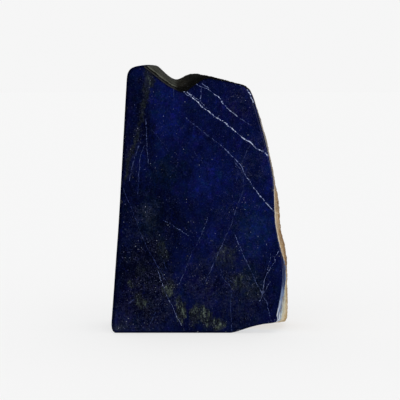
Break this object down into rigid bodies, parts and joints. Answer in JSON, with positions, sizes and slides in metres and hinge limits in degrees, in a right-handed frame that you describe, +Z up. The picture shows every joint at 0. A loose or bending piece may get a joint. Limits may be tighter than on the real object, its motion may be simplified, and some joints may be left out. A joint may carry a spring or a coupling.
{
  "type": "polished lapis lazuli freeform",
  "caption": "Standing slab of deep blue lapis lazuli with white veins and gold pyrite specks, polished faces, a notched top, natural tan crust down a side and a flat sawn base.",
  "frame": {"origin": "middle of the footprint, on the surface that the stone stands on", "axes": "+Z up along the stone's height, -Y out of the broad polished front face, +X towards the crusted side"},
  "size_m": [0.1074, 0.0418, 0.1598],
  "materials": {
    "lapis": "polished"
  },
  "bodies": {
    "root": {"lapis_lazuli": "lapis"}
  },
  "joints": []
}
